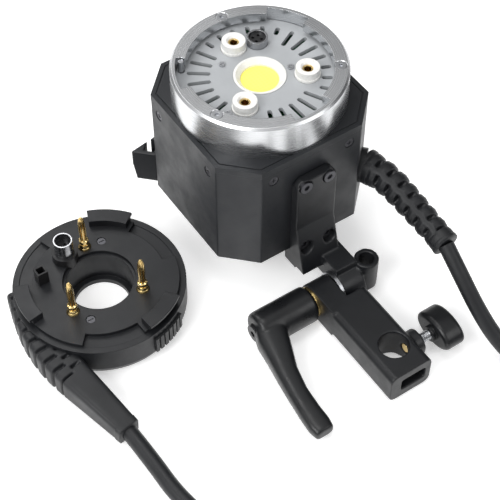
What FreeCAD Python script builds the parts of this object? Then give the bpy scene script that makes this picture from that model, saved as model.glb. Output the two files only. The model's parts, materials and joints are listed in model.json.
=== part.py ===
"""Remote flash head for studio lighting: octagonal head, tilt bracket, stand clamp, cable and ring adapter.

Millimetres, +Z along the optical axis. The origin is the middle of the rear face, on the optical axis.
The bracket and the stand clamp point to -Y. The ring adapter lies beside the head, on the same surface.
"""
import FreeCAD, Part
import Sketcher
import math
import os
import re

SIZES = (
    ("body_width", 97), ("corner_leg", 17), ("shell_wall", 2.5), ("rear_depth", 30), ("rear_width", 53),
    ("rear_top_width", 85), ("sleeve_depth", 68), ("bezel_thickness", 4), ("skirt_depth", 10),
    ("skirt_wall", 3), ("seat_gap", 0.2), ("ring_radius", 47), ("ring_height", 21), ("lug_radius", 39),
    ("groove_radius", 44), ("ledge_radius", 41), ("lug_thickness", 5.5), ("plate_drop", 8),
    ("plate_thickness", 2.5), ("notch_angle", 31), ("ring_screw_orbit", 42), ("slot_width", 2.5),
    ("slot_inner", 27), ("slot_outer", 37), ("stub_inner", 33.5), ("socket_orbit", 25),
    ("socket_radius", 6.4), ("socket_base", 6.9), ("socket_rise", 5.5), ("contact_radius", 2.05),
    ("contact_wall", 0.9),
    ("plug_shell", 5.7), ("led_frame_radius", 14), ("led_radius", 10.2), ("chassis_thickness", 2),
    ("board_width", 83), ("board_height", 70), ("board_thickness", 1.6), ("fan_width", 40), ("fan_depth", 10),
    ("blade_radius", 18.2), ("bracket_width", 25), ("bracket_plate", 5.5), ("corner_cut", 5),
    ("tilt_reach", 25.5), ("tilt_height", 11), ("knuckle_radius", 10.5), ("bolt_radius", 3.95),
    ("running_gap", 0.06), ("clamp_width", 25), ("clamp_height", 20), ("clamp_reach", 71),
    ("stand_reach", 53), ("stand_bore", 8.25), ("umbrella_bore", 4.25), ("umbrella_tube", 7),
    ("umbrella_offset", 21.5), ("screw_radius", 2.95), ("hub_radius", 10.5), ("hub_length", 35),
    ("gland_height", 58), ("gland_bore", 8.5), ("cable_radius", 4.5), ("adapter_radius", 47.5),
    ("adapter_hole", 18.5), ("adapter_height", 21), ("adapter_wall", 1.6), ("adapter_plate", 2),
    ("pin_radius", 2), ("pin_length", 25), ("adapter_x", -108), ("adapter_y", -4),
    ("release_height", 29.5), ("release_travel", 4),
)
SOCKET_ANGLES = (-32, 89.7, 218.2)
PLUG_ANGLE = 59
RING_SCREW_ANGLES = (-34.5, 85, 205)
NOTCH_ANGLES = (35, 155, 275)
SLOT_COUNT = 28
SLOT_START = -36.4
SIDE_ANGLES = (0, 90, 180, 270)
PIN_ANGLES = (79.1, 206.2, 311.5)
ADAPTER_PLUG_ANGLE = 108.5
ADAPTER_SCREW_ANGLES = (57.5, 230.5)
ADAPTER_SCREW_ORBIT = 27
LOCK_PIN_PLACE = (41.3, 141.4)
CLAW_ANGLES = (52.5, 172.5, 292.5)

doc = FreeCAD.newDocument("flash_head")
sheet = doc.addObject("Spreadsheet::Sheet", "sizes")
for row, (alias, value) in enumerate(SIZES, 1):
    sheet.set(f"A{row}", alias)
    sheet.set(f"B{row}", str(value))
    sheet.setAlias(f"B{row}", alias)
doc.recompute()
WORDS = re.compile(r"\b(" + "|".join(alias for alias, value in SIZES) + r")\b")
nodes = {}

# Heights and distances that several pieces share, as formulas of the sheet's sizes.
SLEEVE_TOP = "(rear_depth + sleeve_depth)"
BODY_TOP = "(rear_depth + sleeve_depth + bezel_thickness)"
RING_TOP = "(rear_depth + sleeve_depth + bezel_thickness + ring_height)"
PLATE_TOP = f"({RING_TOP} - plate_drop)"
PLATE_LOW = f"({RING_TOP} - plate_drop - plate_thickness)"
CORNER = "((body_width - corner_leg) / sqrt(2))"
FRONT = "(-body_width / 2)"
TILT_Y = "(-body_width / 2 - tilt_reach)"
STAND_Y = "(-body_width / 2 - tilt_reach - stand_reach)"
PLATE_Y = "(-body_width / 2 - bracket_plate)"
BRACKET_TOP = "(rear_depth + sleeve_depth - 12)"


def size(alias):
    """A driving dimension as a number."""
    return float(sheet.get(alias))


def formula(text):
    """An expression on the sheet, from a line that names its aliases."""
    return WORDS.sub(r"sizes.\1", str(text))


def number(text):
    """The value of a formula, for pieces built by Part's own functions."""
    plain = WORDS.sub(lambda found: str(size(found.group(1))), str(text))
    cell = "D1"
    sheet.set(cell, "=" + plain)
    doc.recompute([sheet])
    return float(sheet.get(cell))


def bind(piece, **properties):
    for name, text in properties.items():
        piece.setExpression(name, formula(text))
    return piece


def put(piece, x=0, y=0, z=0, axis=None, angle=0):
    """Turns the piece about an axis and moves its base to a place given by formulas."""
    if axis:
        piece.Placement = FreeCAD.Placement(FreeCAD.Vector(), FreeCAD.Rotation(FreeCAD.Vector(*axis), angle))
    piece.setExpression("Placement.Base.x", formula(x))
    piece.setExpression("Placement.Base.y", formula(y))
    piece.setExpression("Placement.Base.z", formula(z))
    return piece


TURNS = {
    "z": (None, 0), "x": ((0, 1, 0), 90), "-x": ((0, 1, 0), -90), "y": ((1, 0, 0), -90),
    "-y": ((1, 0, 0), 90),
}


def rod(radius, length, x=0, y=0, z=0, along="z", sweep=360):
    """A cylinder from its base centre along one of the frame's directions."""
    piece = bind(doc.addObject("Part::Cylinder", "rod"), Radius=radius, Height=length, Angle=sweep)
    axis, angle = TURNS[along]
    return put(piece, x, y, z, axis, angle)


def cone(low_radius, high_radius, length, x=0, y=0, z=0, along="z"):
    piece = bind(doc.addObject("Part::Cone", "cone"), Radius1=low_radius, Radius2=high_radius, Height=length)
    axis, angle = TURNS[along]
    return put(piece, x, y, z, axis, angle)


def block(x_size, y_size, z_size, x=0, y=0, z=0):
    """A box centred on x and y, standing on z."""
    piece = bind(doc.addObject("Part::Box", "block"), Length=x_size, Width=y_size, Height=z_size)
    return put(piece, f"{x} - ({x_size}) / 2", f"{y} - ({y_size}) / 2", z)


def join(*pieces):
    piece = doc.addObject("Part::MultiFuse", "join")
    piece.Shapes = list(pieces)
    piece.Refine = True
    return piece


def cut(base, *tools):
    piece = doc.addObject("Part::Cut", "cut")
    piece.Base = base
    piece.Tool = tools[0] if len(tools) == 1 else group(*tools)
    return piece


def common(*pieces):
    piece = doc.addObject("Part::MultiCommon", "common")
    piece.Shapes = list(pieces)
    return piece


def group(*pieces):
    piece = doc.addObject("Part::Compound", "group")
    piece.Links = list(pieces)
    return piece


def spin(piece, angle, x=0, y=0):
    """Turns a finished piece about an upright line through x, y."""
    piece.Placement = FreeCAD.Placement(FreeCAD.Vector(), FreeCAD.Rotation(FreeCAD.Vector(0, 0, 1), angle))
    piece.setExpression("Placement.Base.x", formula(x))
    piece.setExpression("Placement.Base.y", formula(y))
    return piece


def polar(radius, angle, x=0, y=0):
    """Formulas for a point on a circle round x, y."""
    return f"{x} + {radius} * cos({angle})", f"{y} + {radius} * sin({angle})"


def octagon(width, leg, height, z):
    """A square prism with its corners taken off, the leg measured along the square's side."""
    square = block(width, width, height, 0, 0, z)
    across = f"(({width}) - ({leg})) * sqrt(2)"
    diamond = bind(doc.addObject("Part::Box", "block"), Length=across, Width=across, Height=height)
    put(diamond, 0, f"-({across}) / sqrt(2)", z, (0, 0, 1), 45)
    return common(square, diamond)


def taper(low, high, height, z):
    """A square frustum, low wide at its foot and high wide at its head."""
    piece = doc.addObject("Part::Wedge", "taper")
    bind(piece, Ymin=0, Ymax=height, Xmin=f"-({low}) / 2", Xmax=f"({low}) / 2", Zmin=f"-({low}) / 2",
         Zmax=f"({low}) / 2", X2min=f"-({high}) / 2", X2max=f"({high}) / 2", Z2min=f"-({high}) / 2",
         Z2max=f"({high}) / 2")
    return put(piece, 0, 0, z, (1, 0, 0), 90)


def octagon_taper(low, high, height, z):
    """An octagonal frustum with corners in the head's proportion."""
    square = taper(low, high, height, z)
    ratio = "(body_width - corner_leg) * sqrt(2) / body_width"
    diamond = taper(f"({low}) * {ratio}", f"({high}) * {ratio}", height, z)
    turned = group(diamond)
    spin(turned, 45)
    return common(square, turned)


def rounded(piece, radius, pick):
    """Rounds the edges that pick() chooses, each from its end points."""
    doc.recompute()
    chosen = [index for index, edge in enumerate(piece.Shape.Edges, 1) if pick(edge)]
    fillet = doc.addObject("Part::Fillet", "rounded")
    fillet.Base = piece
    fillet.Edges = [(index, radius, radius) for index in chosen]
    return fillet


def runs_along(edge, axis):
    """True for a straight edge along x, y or z (axis 0, 1 or 2)."""
    if edge.Curve.TypeId != "Part::GeomLine":
        return False
    start, end = edge.Vertexes[0].Point, edge.Vertexes[-1].Point
    others = [abs(start[k] - end[k]) for k in range(3) if k != axis]
    return max(others) < 1e-6


def turned(name, points):
    """A PartDesign body turned about Z from a profile of (radius, height) formulas."""
    body = doc.addObject("PartDesign::Body", name)
    plane = next(item for item in body.Origin.OriginFeatures if item.Role == "XZ_Plane")
    upright = next(item for item in body.Origin.OriginFeatures if item.Role == "Z_Axis")
    sketch = body.newObject("Sketcher::SketchObject", name + "_profile")
    sketch.AttachmentSupport = [(plane, "")]
    sketch.MapMode = "FlatFace"
    places = [FreeCAD.Vector(number(radius), number(height), 0) for radius, height in points]
    count = len(places)
    for k in range(count):
        sketch.addGeometry(Part.LineSegment(places[k], places[(k + 1) % count]), False)
    for k in range(count):
        sketch.addConstraint(Sketcher.Constraint("Coincident", k, 2, (k + 1) % count, 1))
    for k, (radius, height) in enumerate(points):
        across = sketch.addConstraint(Sketcher.Constraint("DistanceX", -1, 1, k, 1, places[k].x))
        up = sketch.addConstraint(Sketcher.Constraint("DistanceY", -1, 1, k, 1, places[k].y))
        sketch.setExpression(f"Constraints[{across}]", formula(radius))
        sketch.setExpression(f"Constraints[{up}]", formula(height))
    revolution = body.newObject("PartDesign::Revolution", name + "_turned")
    revolution.Profile = sketch
    revolution.ReferenceAxis = (upright, [""])
    revolution.Angle = 360
    body.Tip = revolution
    return body


def node(name, piece):
    piece.Label = name
    nodes[name] = piece
    return piece


def smooth_loft(name, stations):
    """A closed solid through round sections: (centre, direction, half width, half height)."""
    wires = []
    for centre, direction, wide, high in stations:
        normal = FreeCAD.Vector(*direction)
        side = FreeCAD.Vector(0, 0, 1).cross(normal)
        if wide >= high:
            outline = Part.Ellipse(FreeCAD.Vector(), wide, high) if wide > high else Part.Circle()
        else:
            outline = Part.Ellipse(FreeCAD.Vector(), high, wide)
        if wide == high:
            outline.Radius = wide
        wire = Part.Wire([outline.toShape()])
        up = normal.cross(side)
        across = side if wide >= high else up
        turn = FreeCAD.Rotation(across, FreeCAD.Vector(), normal, "ZXY")
        wire.Placement = FreeCAD.Placement(FreeCAD.Vector(*centre), turn)
        wires.append(wire)
    piece = doc.addObject("Part::Feature", name)
    piece.Shape = Part.makeLoft(wires, True, False)
    return piece


# --- Mount ring -----------------------------------------------------------------------------------
def mount_ring():
    ring = turned("ring_blank", (
        ("ledge_radius", BODY_TOP), ("ring_radius", BODY_TOP), ("ring_radius", f"{RING_TOP} - 1.2"),
        ("ring_radius - 1.2", RING_TOP), ("lug_radius", RING_TOP),
        ("lug_radius", f"{RING_TOP} - lug_thickness"), ("groove_radius", f"{RING_TOP} - lug_thickness"),
        ("groove_radius", PLATE_LOW), ("ledge_radius", PLATE_LOW)))
    tools = []
    lug_low = f"{RING_TOP} - lug_thickness - 1"
    for angle in NOTCH_ANGLES:
        notch = rod("groove_radius", "lug_thickness + 2", 0, 0, lug_low, "z", "notch_angle")
        tools.append(spin(group(notch), angle - size("notch_angle") / 2))
    for angle in RING_SCREW_ANGLES:
        x, y = polar("ring_screw_orbit", angle)
        tools.append(rod(1.6, "ring_height", x, y, f"{BODY_TOP} + 1", "z"))
        tools.append(cone(1.6, 3.4, 1.9, x, y, f"{RING_TOP} - 1.89"))
    x, y = polar(*LOCK_PIN_PLACE)
    tools.append(rod(1.9, 30, x, y, f"{BODY_TOP} - 1"))
    node("mount_ring", cut(ring, *tools))
    screws = []
    for angle in RING_SCREW_ANGLES:
        x, y = polar("ring_screw_orbit", angle)
        shank = rod(1.5, "ring_height - 3", x, y, f"{BODY_TOP} + 1.5")
        head = cone(1.5, 3.1, 1.7, x, y, f"{RING_TOP} - 1.9")
        key = bind(doc.addObject("Part::Prism", "hexagon"), Polygon=6, Circumradius=1.2, Height=2)
        put(key, x, y, f"{RING_TOP} - 1.5")
        screws.append(cut(join(shank, head), key))
    node("ring_screws", group(*screws))


# --- Vent plate, sockets, modelling light ---------------------------------------------------------
PLATE_SCREWS = ((21.3, 124.6), (17.2, -14), (32.2, 206))


def slot_is_short(angle):
    """A slot that would run into a socket keeps only its outer stub."""
    centres = [*SOCKET_ANGLES, PLUG_ANGLE]
    return any(abs((angle - centre + 180) % 360 - 180) < 21 for centre in centres)


def vent_plate():
    plate = rod("groove_radius - seat_gap", "plate_thickness", 0, 0, PLATE_LOW)
    low = f"{PLATE_LOW} - 1"
    deep = "plate_thickness + 2"
    tools = [rod("led_frame_radius + 0.1", deep, 0, 0, low)]
    for k in range(SLOT_COUNT):
        angle = SLOT_START + k * 360 / SLOT_COUNT
        start = "stub_inner" if slot_is_short(angle) else "slot_inner"
        slot = block(f"slot_outer - {start}", "slot_width", deep, f"({start} + slot_outer) / 2", 0, low)
        inner = rod("slot_width / 2", deep, start, 0, low)
        outer = rod("slot_width / 2", deep, "slot_outer", 0, low)
        tools.append(spin(join(slot, inner, outer), angle))
    for angle in SOCKET_ANGLES:
        tools.append(rod("socket_base + 0.15", deep, *polar("socket_orbit", angle), low))
    tools.append(rod("plug_shell + 0.1", deep, *polar("socket_orbit", PLUG_ANGLE), low))
    for orbit, angle in PLATE_SCREWS:
        tools.append(rod(1.1, deep, *polar(orbit, angle), low))
    for angle in RING_SCREW_ANGLES:
        tools.append(rod(1.7, deep, *polar("ring_screw_orbit", angle), low))
    tools.append(rod(1.9, deep, *polar(*LOCK_PIN_PLACE), low))
    node("vent_plate", cut(plate, *tools))
    screws = []
    for orbit, angle in PLATE_SCREWS:
        x, y = polar(orbit, angle)
        head = rod(1.7, 0.9, x, y, PLATE_TOP)
        shank = rod(1, f"{PLATE_TOP} - {BODY_TOP} - 0.5", x, y, f"{BODY_TOP} + 0.5")
        slots = [block(wide, deep, 1, x, y, f"{PLATE_TOP} + 0.4") for wide, deep in ((2, 0.5), (0.5, 2))]
        screws.append(cut(join(head, shank), *slots))
    node("plate_screws", group(*screws))


def sockets():
    foot = f"{BODY_TOP} + chassis_thickness"
    rise = f"{PLATE_TOP} - {BODY_TOP} - chassis_thickness"
    bodies, contacts = [], []
    outer = "contact_radius + contact_wall"
    for angle in SOCKET_ANGLES:
        x, y = polar("socket_orbit", angle)
        base = rod("socket_base", f"{rise} + 1.2", x, y, foot)
        neck = rod("socket_radius", f"{rise} + socket_rise", x, y, foot)
        bore = rod(outer, 40, x, y, f"{foot} + 2")
        mouth = cone(outer, f"{outer} + 1", 1.1, x, y, f"{PLATE_TOP} + socket_rise - 1")
        bodies.append(cut(join(base, neck), bore, mouth))
        sleeve = rod(outer, f"{rise} + socket_rise - 3.5", x, y, f"{foot} + 2")
        contacts.append(cut(sleeve, rod("contact_radius", 40, x, y, f"{foot} + 3.5")))
    node("tube_sockets", group(*bodies))
    node("socket_contacts", group(*contacts))
    x, y = polar("socket_orbit", PLUG_ANGLE)
    shell = rod("plug_shell", f"{rise} + 4.5", x, y, foot)
    node("signal_socket_shell", cut(shell, rod("plug_shell - 1", 40, x, y, f"{foot} - 1")))
    holes = [rod(0.8, 20, *polar(2.4, 45 + 90 * k, x, y), f"{PLATE_TOP} - 4") for k in range(4)]
    core = rod("plug_shell - 1", f"{rise} + 3.2", x, y, foot)
    node("signal_socket_insert", cut(core, *holes))


def modelling_light():
    frame = rod("led_frame_radius", 5, 0, 0, f"{PLATE_TOP} - 4.6")
    well = rod("led_radius + 0.1", 6, 0, 0, f"{PLATE_TOP} - 5")
    flare = cone("led_radius", "led_frame_radius - 1.2", 2.6, 0, 0, f"{PLATE_TOP} - 2.1")
    node("led_frame", cut(frame, well, flare))
    node("led_emitter", rod("led_radius", 1.6, 0, 0, f"{PLATE_TOP} - 4.6"))
    sink = rod("led_frame_radius - 0.8", 20, 0, 0, f"{PLATE_TOP} - 24.6")
    fins = [block(1.6, 40, 16, -11.2 + 3.2 * k, 0, f"{PLATE_TOP} - 24.7") for k in range(8)]
    node("led_heatsink", cut(sink, *fins))
    plate = rod("ledge_radius - 0.3", "chassis_thickness", 0, 0, BODY_TOP)
    under = f"{BODY_TOP} - 2"
    tools = [rod("led_frame_radius", 9, 0, 0, under), rod(2.2, 9, *polar(*LOCK_PIN_PLACE), under)]
    tools += [rod(1, 9, *polar(orbit, angle), under) for orbit, angle in PLATE_SCREWS]
    tools += [rod(1.6, 9, *polar("ring_screw_orbit", angle), under) for angle in RING_SCREW_ANGLES]
    node("chassis_plate", cut(plate, *tools))


# --- Octagonal body -------------------------------------------------------------------------------
INNER = "body_width - 2 * shell_wall"


def side_screw_places():
    """Centre and direction of the two screws on each of the four wide faces."""
    for angle in SIDE_ANGLES:
        for offset in (-24, 24):
            yield angle, offset


def release_slot():
    """Local frame: +X outward through the corner at 135 degrees."""
    slot = block(12, 12, "4 + release_travel + 1.2", CORNER, 1.2, "release_height + 8 - release_travel - 0.6")
    return spin(group(slot), 135)


def body_shells():
    top = octagon("body_width", "corner_leg", "bezel_thickness", SLEEVE_TOP)
    skirt_width = "body_width - 2 * shell_wall - 2 * seat_gap"
    skirt = octagon(skirt_width, "corner_leg - 1.5", "skirt_depth", f"{SLEEVE_TOP} - skirt_depth")
    hollow_width = f"{skirt_width} - 2 * skirt_wall"
    hollow = octagon(hollow_width, "corner_leg - 5", "skirt_depth + 0.5", f"{SLEEVE_TOP} - skirt_depth - 0.5")
    groove = cut(octagon("body_width - 5", "corner_leg - 1.5", 2, f"{BODY_TOP} - 0.5"),
                 octagon("body_width - 6.4", "corner_leg - 1.9", 3, f"{BODY_TOP} - 1"))
    tools = [hollow, groove, rod("ledge_radius - 3", 40, 0, 0, f"{SLEEVE_TOP} - 20")]
    tools += [rod(1.6, 3, *polar("ring_screw_orbit", angle), f"{BODY_TOP} - 2")
              for angle in RING_SCREW_ANGLES]
    tools.append(rod(2.2, 40, *polar(*LOCK_PIN_PLACE), f"{SLEEVE_TOP} - 20"))
    tools += [spin(group(rod(1.3, 12, f"body_width / 2 - 8", offset, f"{SLEEVE_TOP} - 6", "x")), angle)
              for angle, offset in side_screw_places()]
    node("front_bezel", cut(join(top, skirt), *tools))

    outer = octagon("body_width", "corner_leg", "sleeve_depth", "rear_depth")
    soft = rounded(outer, 1.6, lambda edge: runs_along(edge, 2))
    inner = octagon(INNER, "corner_leg - 1.5", "sleeve_depth + 2", "rear_depth - 1")
    tools = [inner, release_slot()]
    for angle, offset in side_screw_places():
        hole = rod(1.3, 12, "body_width / 2 - 8", offset, f"{SLEEVE_TOP} - 6", "x")
        recess = rod(3, 3, "body_width / 2 - 1.3", offset, f"{SLEEVE_TOP} - 6", "x")
        tools.append(spin(join(hole, recess), angle))
    tools.append(spin(group(rod("gland_bore", 20, f"{CORNER} - 10", 0, "gland_height", "x")), -45))
    for x, z, sunk in BRACKET_SCREWS:
        tools.append(rod(2.05, 10, x, f"{FRONT} - 2", z, "y"))
    node("main_housing", cut(soft, *tools))

    shell = octagon_taper("rear_width", "rear_top_width", "rear_depth", 0)
    space = octagon_taper("rear_width - 2 * shell_wall + 2.7", "rear_top_width - 2 * shell_wall",
                          "rear_depth - shell_wall + 0.01", "shell_wall")
    rim = octagon("body_width - 2 * shell_wall - 2 * seat_gap", "corner_leg - 1.5", 3, "rear_depth")
    rim_hole = octagon("rear_top_width - 2 * shell_wall", "corner_leg - 3", 5, "rear_depth - 1")
    vents = []
    for k in range(12):
        vents.append(spin(group(block(8.5, 3, 9, 14.3, 0, -3)), 15 + 30 * k))
    for angle in SIDE_ANGLES:
        for offset in (-12, -6, 0, 6, 12):
            vents.append(spin(group(block(20, 2.4, 11, "rear_top_width / 2 - 6", offset, 14)), angle))
    holes = [rod(1.1, 12, *polar("rear_top_width / 2 + 1.9", angle), "rear_depth - 5")
             for angle in SIDE_ANGLES]
    node("rear_cover", cut(join(cut(shell, space), cut(rim, rim_hole)), *vents, *holes))
    screws = []
    for angle in SIDE_ANGLES:
        x, y = polar("rear_top_width / 2 + 1.9", angle)
        head = rod(1.6, 1.2, x, y, "rear_depth - 1.2")
        shank = rod(1.1, 3.5, x, y, "rear_depth - 0.5")
        screws.append(cut(join(head, shank), block(2.2, 0.5, 1, x, y, "rear_depth - 1.5")))
    node("rear_screws", group(*screws))


def side_screws():
    screws = []
    high = f"{SLEEVE_TOP} - 6"
    for angle, offset in side_screw_places():
        head = rod(2.7, 1, "body_width / 2 - 1.3", offset, high, "x")
        shank = rod(1.3, "shell_wall + 1.2", "body_width / 2 - shell_wall - 2.5", offset, high, "x")
        key = block(2, 0.6, 3, "body_width / 2", offset, f"{SLEEVE_TOP} - 7.5")
        cross = block(2, 3, 0.6, "body_width / 2", offset, f"{SLEEVE_TOP} - 6.3")
        screws.append(spin(cut(join(head, shank), key, cross), angle))
    node("side_screws", group(*screws))


# --- Inside the body ------------------------------------------------------------------------------
def electronics():
    board = octagon("board_width", "corner_leg - 2.5", "board_thickness", "board_height")
    posts, holes = [], [rod(5, 20, *polar(*LOCK_PIN_PLACE), "board_height - 5")]
    for x in (-38, 38):
        for y in (-18, 18):
            posts.append(rod(2.8, f"{SLEEVE_TOP} - board_height - board_thickness", x, y,
                             "board_height + board_thickness"))
    node("circuit_board", cut(board, *holes))
    node("board_posts", group(*posts))
    coil = join(block(24, 20, 16, 12, -12, "board_height - 16"), rod(7, 5, 12, -12, "board_height - 21"))
    node("trigger_coil", coil)
    cans = [rod(5.5, 20, -22 + 14 * k, 16, "board_height - 20") for k in range(4)]
    node("capacitors", group(*cans))


def fan():
    low = "shell_wall"
    frame = block("fan_width", "fan_width", "fan_depth", 0, 0, low)
    frame = cut(frame, rod("fan_width / 2 - 1.2", 30, 0, 0, -2))
    base = rod(8, 1.5, 0, 0, low)
    post = rod(2.5, 4.5, 0, 0, low)
    struts = [spin(group(block(14, 1.6, 1.5, 13.5, 0, low)), 45 + 90 * k) for k in range(4)]
    hole = rod("1 + running_gap", 10, 0, 0, f"{low} + 1")
    node("fan_frame", cut(join(frame, base, post, *struts), hole))
    hub = cut(rod(8.5, 7, 0, 0, f"{low} + 2.2"), rod(7, 5.5, 0, 0, f"{low} + 2.1"))
    shaft = rod(1, 7.4, 0, 0, f"{low} + 1.3")
    blades = []
    for k in range(7):
        blade = bind(doc.addObject("Part::Box", "blade"), Length="blade_radius - 8", Width=0.9, Height=7)
        put(blade, 8, 0, f"{low} + 2.4", (1, 0, 0), 30)
        blades.append(spin(group(blade), k * 360 / 7))
    limit = rod("blade_radius", 6.6, 0, 0, f"{low} + 2.3")
    node("fan_rotor", join(hub, shaft, *[common(blade, limit) for blade in blades]))


def release():
    """Sliding release: an outer thumb wedge, an arm through the wall and the pin that locks the bayonet."""
    thumb = doc.addObject("Part::Wedge", "thumb")
    inner = f"{CORNER} + 0.4"
    bind(thumb, Ymin=-9, Ymax=9, Xmin=inner, Xmax=f"{CORNER} + 2", X2min=inner, X2max=f"{CORNER} + 15",
         Zmin="release_height", Zmax="release_height + 22", Z2min="release_height",
         Z2max="release_height + 22")
    hollow = block(6, 9, 14, f"{CORNER} + 5", 2, "release_height + 10")
    slope = bind(doc.addObject("Part::Box", "block"), Length=20, Width=40, Height=60)
    put(slope, f"{CORNER} + 11.8", -20, "release_height - 6", (0, 1, 0), 9)
    node("release_lever", spin(cut(thumb, hollow, slope), 135))
    arm = block(f"{CORNER} + 0.4 - 38", 9, 4, f"({CORNER} + 0.4 + 38) / 2", 1.2, "release_height + 8")
    node("release_link", spin(cut(arm, rod(1.5, 20, 41.05, 4.61, "release_height")), 135))
    x, y = polar(*LOCK_PIN_PLACE)
    node("lock_pin", rod(1.5, f"{RING_TOP} - 9 - release_height", x, y, "release_height + 8"))


# --- Bracket and clamp ----------------------------------------------------------------------------
BRACKET_SCREWS = (
    (-7.4, f"{BRACKET_TOP} - 4", False), (7.4, f"{BRACKET_TOP} - 4", False), (-7.5, "rear_depth + 6", True),
    (7.5, "rear_depth + 6", True),
)


def bracket():
    middle = f"{FRONT} - bracket_plate / 2"
    plate = block("bracket_width", "bracket_plate", f"{BRACKET_TOP} - 18", 0, middle, 18)
    flare = doc.addObject("Part::Wedge", "flare")
    bind(flare, Xmin="-bracket_width / 2", Xmax="bracket_width / 2", Ymin=0, Ymax=34, Zmin=-2, Zmax=8,
         X2min="-bracket_width / 2", X2max="bracket_width / 2", Z2min=-2, Z2max=-1)
    put(flare, 0, PLATE_Y, 20, (1, 0, 0), 90)
    heel = block("bracket_width", 7, 12, 0, f"{FRONT} + 1.4", "rear_depth - 12.3")
    ear_width = 14
    ear = rod("knuckle_radius", ear_width, 1, TILT_Y, "tilt_height", "x")
    web = block(ear_width, "tilt_reach - bracket_plate + 1", 14, 1 + ear_width / 2,
                f"({TILT_Y} + {PLATE_Y} + 1) / 2", "tilt_height + 1")
    tube = rod("umbrella_tube", 21, "umbrella_offset", TILT_Y, 3)
    bridge = block(8, 10, 14, "umbrella_offset - 6", TILT_Y, 4)
    solid = join(plate, flare, heel, ear, web, tube, bridge)
    tools = [rod("umbrella_bore", 40, "umbrella_offset", TILT_Y, -5)]
    tools.append(rod("bolt_radius + running_gap", 12.5, 0, TILT_Y, "tilt_height", "x"))
    for side in (-1, 1):
        corner = doc.addObject("Part::Box", "block")
        bind(corner, Length="corner_cut", Width=20, Height="corner_cut")
        left = f"{side} * bracket_width / 2 - corner_cut / sqrt(2)"
        put(corner, left, f"{FRONT} - 15", BRACKET_TOP, (0, 1, 0), 45)
        tools.append(corner)
    for x, z, sunk in BRACKET_SCREWS:
        tools.append(rod(2.05, 30, x, f"{FRONT} - 25", z, "y"))
        if sunk:
            tools.append(rod(3.9, 20, x, f"{FRONT} - 24", z, "y"))
        else:
            tools.append(rod(3.9, 3, x, f"{PLATE_Y} - 1.4", z, "y"))
    node("bracket_arm", cut(solid, *tools))
    screws = []
    for x, z, sunk in BRACKET_SCREWS:
        seat = f"{FRONT} - 4" if sunk else f"{PLATE_Y} + 1.6"
        head = rod(3.6, 2.4, x, f"{seat} - 2.4", z, "y")
        shank = rod(2.05, 12, x, f"{seat} - 0.5", z, "y")
        key = bind(doc.addObject("Part::Prism", "hexagon"), Polygon=6, Circumradius=1.8, Height=3)
        put(key, x, f"{seat} - 1", z, (1, 0, 0), 90)
        screws.append(cut(join(head, shank), key))
    node("bracket_screws", group(*screws))


def tilt_clamp():
    disc = rod(10.8, 1.9, -0.9, TILT_Y, "tilt_height", "x")
    node("rosette_disc", cut(disc, rod("bolt_radius + 0.1", 9, -3, TILT_Y, "tilt_height", "x")))
    low = "tilt_height - clamp_height / 2"
    near = 13
    length = f"clamp_reach - {near}"
    centre = f"{TILT_Y} - {near} - ({length}) / 2"
    body = block("clamp_width + 1.5", length, "clamp_height", -1.75, centre, low)
    body = rounded(body, 3.5, lambda edge: runs_along(edge, 1))
    barrel = rod("clamp_height / 2", 13.8, -15, TILT_Y, "tilt_height", "x")
    neck = block(13.8, near + 6, "clamp_height", -8.1, f"{TILT_Y} - ({near + 6}) / 2", low)
    boss = rod(7.5, 6, "clamp_width / 2 - 1.5", STAND_Y, "tilt_height", "x")
    tools = [rod("stand_bore", 40, 0, STAND_Y, -10)]
    tools.append(rod("bolt_radius + 2 * running_gap", 30, -20, TILT_Y, "tilt_height", "x"))
    tools.append(rod("screw_radius + running_gap", 20, 4, STAND_Y, "tilt_height", "x"))
    pocket = block(16, 16, 8.6, 0, f"{TILT_Y} - clamp_reach", "tilt_height - 4.3")
    tools.append(rounded(pocket, 2, lambda edge: runs_along(edge, 1)))
    node("clamp_block", cut(join(body, barrel, neck, boss), *tools))
    washer = rod(9, 1.4, -16.4, TILT_Y, "tilt_height", "x")
    node("brass_washer", cut(washer, rod("bolt_radius + 0.12", 9, -20, TILT_Y, "tilt_height", "x")))


def stand_screw():
    out = "clamp_width / 2"
    pad = rod("screw_radius - 0.3", 2, "stand_bore + 0.15", STAND_Y, "tilt_height", "x")
    node("pressure_pad", pad)
    reach = f"{out} + 16 - stand_bore - 2.2"
    node("screw_shank", rod("screw_radius", reach, "stand_bore + 2.15", STAND_Y, "tilt_height", "x"))
    oval = bind(doc.addObject("Part::Ellipse", "oval"), MajorRadius=13.5, MinorRadius=8.5)
    knob = doc.addObject("Part::Extrusion", "oval_bar")
    knob.Base = oval
    knob.DirMode = "Custom"
    knob.Dir = FreeCAD.Vector(0, 0, 1)
    knob.LengthFwd = 13
    knob.Solid = True
    held = group(knob)
    held.Placement = FreeCAD.Placement(FreeCAD.Vector(), FreeCAD.Rotation(FreeCAD.Vector(0, 1, 0), 90)
                                       * FreeCAD.Rotation(FreeCAD.Vector(0, 0, 1), 90))
    put(held, f"{out} + 14", STAND_Y, "tilt_height")
    soft = rounded(held, 2.5, lambda edge: edge.Curve.TypeId == "Part::GeomEllipse")
    hub = rod(4.6, 2.5, f"{out} + 12", STAND_Y, "tilt_height", "x")
    bore = rod("screw_radius", 10, f"{out} + 6", STAND_Y, "tilt_height", "x")
    node("screw_knob", cut(join(soft, hub), bore))


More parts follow.
